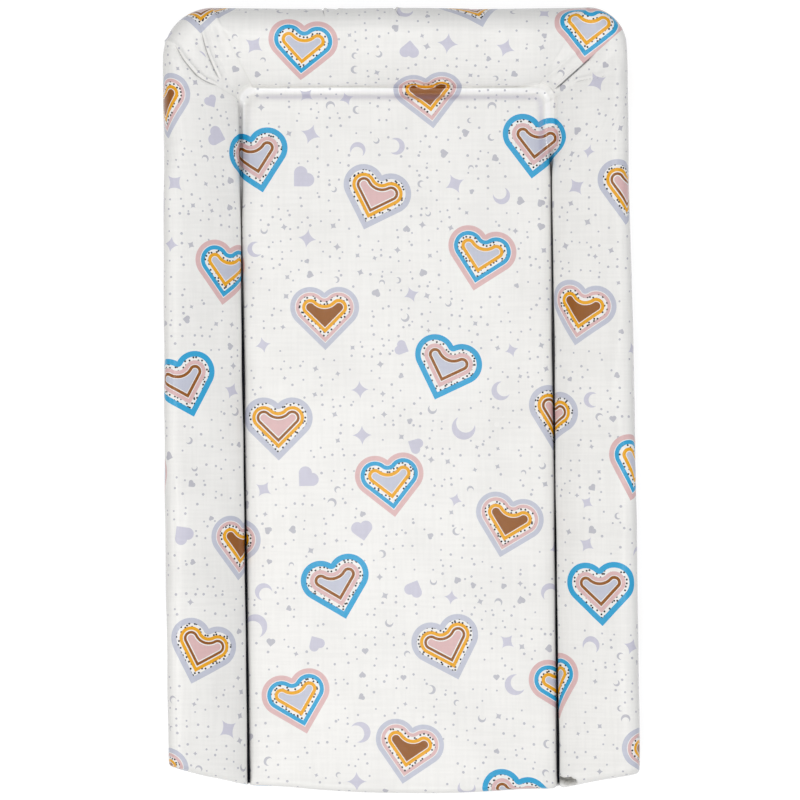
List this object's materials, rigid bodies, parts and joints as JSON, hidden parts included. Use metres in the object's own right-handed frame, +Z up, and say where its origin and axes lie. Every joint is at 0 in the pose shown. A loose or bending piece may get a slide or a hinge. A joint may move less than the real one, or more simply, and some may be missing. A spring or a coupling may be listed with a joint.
{
  "type": "changing mat",
  "caption": "Padded changing mat with a wipe-clean printed film cover: a flat pad inside raised bolsters at the head and along both sides, open at the bowed foot edge.",
  "frame": {"origin": "centre of the mat's plan outline at floor level, under the back film", "axes": "+Y towards the head bolster, +X to the right of someone who faces the head, +Z up"},
  "size_m": [0.47, 0.79, 0.066],
  "materials": {
    "printed_film": "satin, finely embossed, printed",
    "plain_film": "satin",
    "fused_film": "smooth from the weld",
    "foam": "open-cell foam"
  },
  "bodies": {
    "root": {"top_cover": "printed_film", "back_cover": "plain_film", "pad_foam": "foam", "left_bolster_foam": "foam", "right_bolster_foam": "foam", "head_bolster_foam": "foam", "rim_weld": "fused_film", "left_crease_weld": "fused_film", "right_crease_weld": "fused_film", "head_crease_weld": "fused_film", "left_corner_tuck": "fused_film", "right_corner_tuck": "fused_film"}
  },
  "joints": []
}
